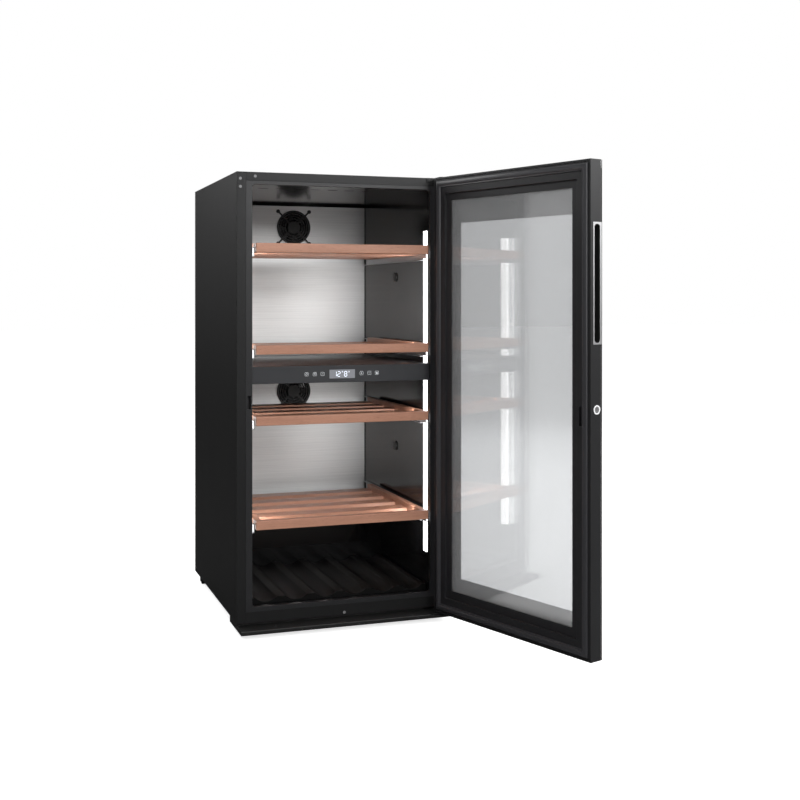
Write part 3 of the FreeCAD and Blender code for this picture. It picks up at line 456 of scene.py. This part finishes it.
def makeShelfBoards(number, bottom):
    d = shelfBoards
    body = f"shelf_{number}"
    inner = d["half"] - d["side"]
    start = d["front"] + d["thick"]
    front = addBlock(f"{body}_front_board", (-d["half"], d["half"]), (d["front"], start),
                     (bottom, bottom + d["high"]))
    softenEdges(front, d["round"], 4)
    finishPiece(front, body, beechFront, (body,))
    sides = []
    for x in ((-d["half"], -inner), (inner, d["half"])):
        side = addBlock("side", x, (start + d["joint"], d["back"]), (bottom, bottom + d["high"]))
        softenEdges(side, d["slightRound"], 3)
        sides.append(side)
    finishPiece(joined(f"{body}_side_boards", sides), body, beechSide, (body,))
    gap = (d["back"] - start - d["slats"] * d["slatWide"]) / (d["slats"] - 1)
    slats = []
    for i in range(d["slats"]):
        y = start + (d["slatWide"] + gap) * i
        slat = addBlock("slat", (-inner, inner), (y + d["joint"], y + d["slatWide"]),
                        (bottom, bottom + d["slatThick"]))
        softenEdges(slat, d["slightRound"], 3)
        slats.append(slat)
    finishPiece(joined(f"{body}_slats", slats), body, beechFront, (body,))


for number, bottom in enumerate(shelfBoards["bottoms"], start=1):
    makeShelfBoards(number, bottom)
print("shelves made")


outerGlass = {"left": -0.2975, "right": 0.2975, "bottom": 0.027, "top": 1.237, "front": -0.046,
              "back": -0.0424, "round": 0.0008, "printFront": -0.04235, "printBack": -0.042,
              "printInset": 0.0005, "window": {"x": (-0.209, 0.220), "y": (-0.06, 0), "z": (0.127, 1.109)}}


def makeOuterGlass():
    d = outerGlass
    sheet = addBlock("outer_pane", (d["left"], d["right"]), (d["front"], d["back"]),
                     (d["bottom"], d["top"]))
    softenEdges(sheet, d["round"])
    finishPiece(swung(sheet), "door", outerPane, ("outer_glass",))
    inset = d["printInset"]
    border = addBlock("pane_border", (d["left"] + inset, d["right"] - inset),
                      (d["printFront"], d["printBack"]), (d["bottom"] + inset, d["top"] - inset))
    window = d["window"]
    carve(border, addBlock("window", window["x"], window["y"], window["z"]))
    finishPiece(swung(border), "door", glossBlack, ("outer_glass",))


makeOuterGlass()
print("door glass made")


# the lip's steps are how far each inset goes across the profile, and how far it rises
gasket = {"outside": 0.2875, "top": 1.227, "bottom": 0.037, "base": -0.006, "shadeBelow": 50,
          "lip": ((0.00005, 0.0019), (0.0013, 0.0015), (0.0023, 0.0012), (0.0029, 0.0007),
                  (0.0025, 0.0001), (0.0022, -0.0004), (0.0014, -0.0011), (0.0011, -0.0012),
                  (0.0014, 0.0), (0.0014, 0.0007), (0.0015, -0.0004))}


def makeGasket():
    d = gasket
    deselectAll()
    bpy.ops.mesh.primitive_plane_add(size=1, location=(0, d["base"], (d["top"] + d["bottom"]) / 2),
                                     rotation=(-math.pi / 2, 0, 0))
    lip = bpy.context.object
    lip.name = "door_gasket_lip"
    lip.scale = (d["outside"] * 2, d["top"] - d["bottom"], 1)
    bakePlace(lip)
    bpy.ops.object.mode_set(mode="EDIT")
    bpy.ops.mesh.select_all(action="SELECT")
    for across, rise in d["lip"]:
        bpy.ops.mesh.inset(thickness=across, depth=rise)
    bpy.ops.mesh.delete(type="FACE")
    bpy.ops.mesh.select_all(action="DESELECT")
    bpy.ops.object.mode_set(mode="OBJECT")
    closeRing(lip, d["base"])
    pick(lip)
    bpy.ops.object.shade_smooth_by_angle(angle=math.radians(d["shadeBelow"]))
    finishPiece(swung(lip), "door", sealRubber, ("door_gasket",))


makeGasket()
print("gasket made")


touchSigns = {"face": 0.0079, "thick": 0.00012, "height": 0.694, "size": 0.0095, "line": 0.0007,
              "places": (-0.103, -0.080, -0.058, 0.054, 0.0766, 0.0985), "thin": 0.7, "frameLine": 0.8,
              "corner": 0.2, "fullTurn": 359.5, "bar": 0.0048,
              "power": {"radius": 0.0024, "barUp": 0.0022, "barHigh": 0.003},
              "lamp": {"radius": 0.0019, "up": 0.0006, "footDown": 0.0024, "footWide": 0.002,
                       "rays": 0.0034, "rayTurn": 0.8, "rayWide": 0.0011},
              "lock": {"radius": 0.0014, "up": 0.0008, "bodyDown": 0.0011, "bodyWide": 0.0042,
                       "bodyHigh": 0.0032}}


def signBar(x, z, wide, high, turn=0.0):
    d = touchSigns
    depth = (d["face"] - d["thick"] / 2, d["face"] + d["thick"] / 2)
    bar = addBlock("bar", (-wide / 2, wide / 2), depth, (-high / 2, high / 2))
    bar.data.transform(Matrix.Translation((x, 0, z)) @ Matrix.Rotation(turn, 4, "Y"))
    return bar


def signArc(x, z, radius, start, sweep, line, steps=20):
    # a small square swept round; a full turn stops just short of itself
    d = touchSigns
    deselectAll()
    bpy.ops.mesh.primitive_plane_add(size=1, location=(radius, 0, 0))
    arc = bpy.context.object
    arc.scale = (line, d["thick"], 1)
    bakePlace(arc)
    bpy.ops.object.mode_set(mode="EDIT")
    bpy.ops.mesh.select_all(action="SELECT")
    bpy.ops.mesh.spin(steps=steps, angle=math.radians(min(sweep, d["fullTurn"])), center=(0, 0, 0),
                      axis=(0, 1, 0))
    bpy.ops.mesh.select_all(action="SELECT")
    bpy.ops.mesh.normals_make_consistent(inside=False)
    bpy.ops.object.mode_set(mode="OBJECT")
    arc.data.transform(Matrix.Translation((x, d["face"], z))
                       @ Matrix.Rotation(-math.radians(start), 4, "Y"))
    return arc


def signFrame(x, z, size, line):
    # a square outline with rounded corners
    reach = size / 2
    corner = size * touchSigns["corner"]
    straight = size - 2 * corner
    parts = [signBar(x, z + reach, straight, line), signBar(x, z - reach, straight, line),
             signBar(x - reach, z, line, straight), signBar(x + reach, z, line, straight)]
    for start, dx, dz in ((0, 1, 1), (90, -1, 1), (180, -1, -1), (270, 1, -1)):
        parts.append(signArc(x + dx * (reach - corner), z + dz * (reach - corner), corner, start, 90,
                             line, 5))
    return parts


def makeTouchSigns():
    d = touchSigns
    z = d["height"]
    line = d["line"]
    parts = []
    for x in d["places"]:
        parts += signFrame(x, z, d["size"], line * d["frameLine"])
    powerAt, lampAt, minusLeft, plusAt, minusAt, lockAt = d["places"]
    power, lamp, lock = d["power"], d["lamp"], d["lock"]
    parts += [signArc(powerAt, z, power["radius"], 120, 300, line),
              signBar(powerAt, z + power["barUp"], line, power["barHigh"])]
    parts += [signArc(lampAt, z + lamp["up"], lamp["radius"], -60, 300, line),
              signBar(lampAt, z - lamp["footDown"], lamp["footWide"], line)]
    for step in range(3):
        angle = math.pi / 2 + (step - 1) * lamp["rayTurn"]
        parts.append(signBar(lampAt + lamp["rays"] * math.cos(angle),
                             z + lamp["up"] + lamp["rays"] * math.sin(angle),
                             lamp["rayWide"], line * d["thin"], -angle))
    parts.append(signBar(minusLeft, z, d["bar"], line))
    parts += [signBar(plusAt, z, d["bar"], line), signBar(plusAt, z, line, d["bar"])]
    parts.append(signBar(minusAt, z, d["bar"], line))
    parts += [signArc(lockAt, z + lock["up"], lock["radius"], 0, 180, line),
              signBar(lockAt, z - lock["bodyDown"], lock["bodyWide"], lock["bodyHigh"])]
    finishPiece(joined("touch_signs", parts), "cabinet", iconPrint)


figures = {"face": 0.00825, "high": 0.0135, "wide": 0.0072, "line": 0.0013, "middle": 0.693,
           "gap": 0.0035, "trim": 1.2, "degree": 0.0012, "degreeShift": 0.001,
           "shown": (("12", -0.022), ("8", 0.008))}
segmentsLit = {"1": "bc", "2": "abged", "8": "abcdefg"}


def makeFigures():
    d = figures
    wide, high, line = d["wide"], d["high"], d["line"]
    spots = {"a": (0, high / 2, 0), "d": (0, -high / 2, 0), "g": (0, 0, 0), "b": (wide / 2, high / 4, 1),
             "c": (wide / 2, -high / 4, 1), "f": (-wide / 2, high / 4, 1), "e": (-wide / 2, -high / 4, 1)}
    parts = []
    for digits, left in d["shown"]:
        for place, digit in enumerate(digits):
            middle = left + place * (wide + d["gap"])
            for key in segmentsLit[digit]:
                dx, dz, upright = spots[key]
                trim = line * d["trim"]
                size = (line, high / 2 - trim) if upright else (wide - trim, line)
                parts.append(signBar(middle + dx, d["middle"] + dz, *size))
        shift = d["degreeShift"]
        parts.append(signArc(left + len(digits) * (wide + d["gap"]) - shift, d["middle"] + high / 2 - shift,
                             d["degree"], 0, 360, line * 0.5, 16))
    piece = joined("lit_figures", parts)
    piece.data.transform(Matrix.Translation((0, d["face"] - touchSigns["face"], 0)))
    finishPiece(piece, "cabinet", figureLight)


makeTouchSigns()
makeFigures()
print("control panel printed")


stage = {"half": 30, "tone": 0.95, "mirrored": 0.05, "lift": 0.75}
sky = {"seen": 1.0, "scattered": 0.35, "mirrored": 0.1}


def rayMasks(tree):
    # one mask for what is seen straight or through glass, one for what shows only as a reflection
    path = tree.nodes.new("ShaderNodeLightPath")
    through = path.outputs["Is Transmission Ray"]
    seen = mathNode(tree, "MAXIMUM", path.outputs["Is Camera Ray"], through)
    reflected = mathNode(tree, "SUBTRACT", path.outputs["Is Glossy Ray"], through)
    return seen, reflected


def makeStage():
    deselectAll()
    bpy.ops.mesh.primitive_plane_add(size=stage["half"] * 2, location=(0, 0, 0))
    floor = bpy.context.object
    floor.name = "floor"
    bakePlace(floor)
    material, tree, shader = newMaterial("paleFloor", (1, 1, 1), 0.7, specular=0.1)
    seen, reflected = rayMasks(tree)
    mixColours(tree, shader, reflected, (stage["tone"],) * 3, (stage["mirrored"],) * 3)
    shader.inputs["Emission Color"].default_value = (1, 1, 1, 1)
    tree.links.new(mathNode(tree, "MULTIPLY", seen, stage["lift"]), shader.inputs["Emission Strength"])
    floor.data.materials.append(material)


def addSoftbox(name, place, target, size, power):
    light = bpy.data.lights.new(name, "AREA")
    light.shape = "RECTANGLE"
    light.size, light.size_y = size
    light.energy = power
    obj = bpy.data.objects.new(name, light)
    scene.collection.objects.link(obj)
    obj.location = place
    obj.rotation_euler = (Vector(target) - Vector(place)).to_track_quat("-Z", "Y").to_euler()
    return obj


softboxes = (
    ("key", (-1.6, -3.6, 3.4), (0.1, 0, 0.9), (2.6, 1.6), 30),
    ("front", (1.35, -3.9, 2.45), (0.2, 0, 0.95), (2.2, 1.7), 85),
    ("side", (3.9, -2.4, 2.5), (0.4, -0.5, 1.0), (1.5, 1.5), 60),
    ("top", (0, 0.2, 4.0), (0, 0.2, 0.6), (3.0, 3.0), 40),
    ("rim", (-2.0, 2.2, 2.4), (-0.3, 0.0, 0.9), (1.2, 1.6), 30),
    ("back", (1.7, 4.2, 2.6), (0.1, 0.6, 0.7), (2.2, 1.8), 55),
    ("right", (4.4, 1.6, 2.4), (0.3, 0.3, 0.7), (2.0, 1.8), 40),
)
cabinLamps = {"across": 0.222, "depth": 0.062, "wide": 0.02, "power": 0.55, "aimAcross": 0.05,
              "aimDeep": 0.6, "runs": ((0.19, 0.66), (0.73, 1.09))}


def makeLight():
    world = bpy.data.worlds.new("studio")
    scene.world = world
    world.use_nodes = True
    tree = world.node_tree
    background = tree.nodes["Background"]
    background.inputs["Color"].default_value = (1, 1, 1, 1)
    seen, reflected = rayMasks(tree)
    loss = mathNode(tree, "MULTIPLY", reflected, sky["scattered"] - sky["mirrored"])
    rest = mathNode(tree, "SUBTRACT", sky["scattered"], loss)
    strength = mathNode(tree, "MAXIMUM", mathNode(tree, "MULTIPLY", seen, sky["seen"]), rest)
    tree.links.new(strength, background.inputs["Strength"])
    for name, place, target, size, power in softboxes:
        addSoftbox(name, place, target, size, power)
    d = cabinLamps
    for low, high in d["runs"]:
        middle = (low + high) / 2
        for side in (-1, 1):
            addSoftbox("cabin", (side * d["across"], d["depth"], middle),
                       (side * d["aimAcross"], d["aimDeep"], middle), (d["wide"], high - low), d["power"])


cameraAt = {"place": (-0.935, -3.1313, 0.9037), "turn": -19.34, "lens": 53.44, "sensor": 36,
            "shift": -0.1283}


def makeCamera():
    data = bpy.data.cameras.new("camera")
    data.sensor_width = cameraAt["sensor"]
    data.lens = cameraAt["lens"]
    data.shift_y = cameraAt["shift"]
    camera = bpy.data.objects.new("camera", data)
    scene.collection.objects.link(camera)
    camera.location = cameraAt["place"]
    camera.rotation_euler = (math.pi / 2, 0, math.radians(cameraAt["turn"]))
    scene.camera = camera


makeStage()
makeLight()
makeCamera()
scene.view_settings.view_transform = "Standard"

print("stage, light and camera ready")
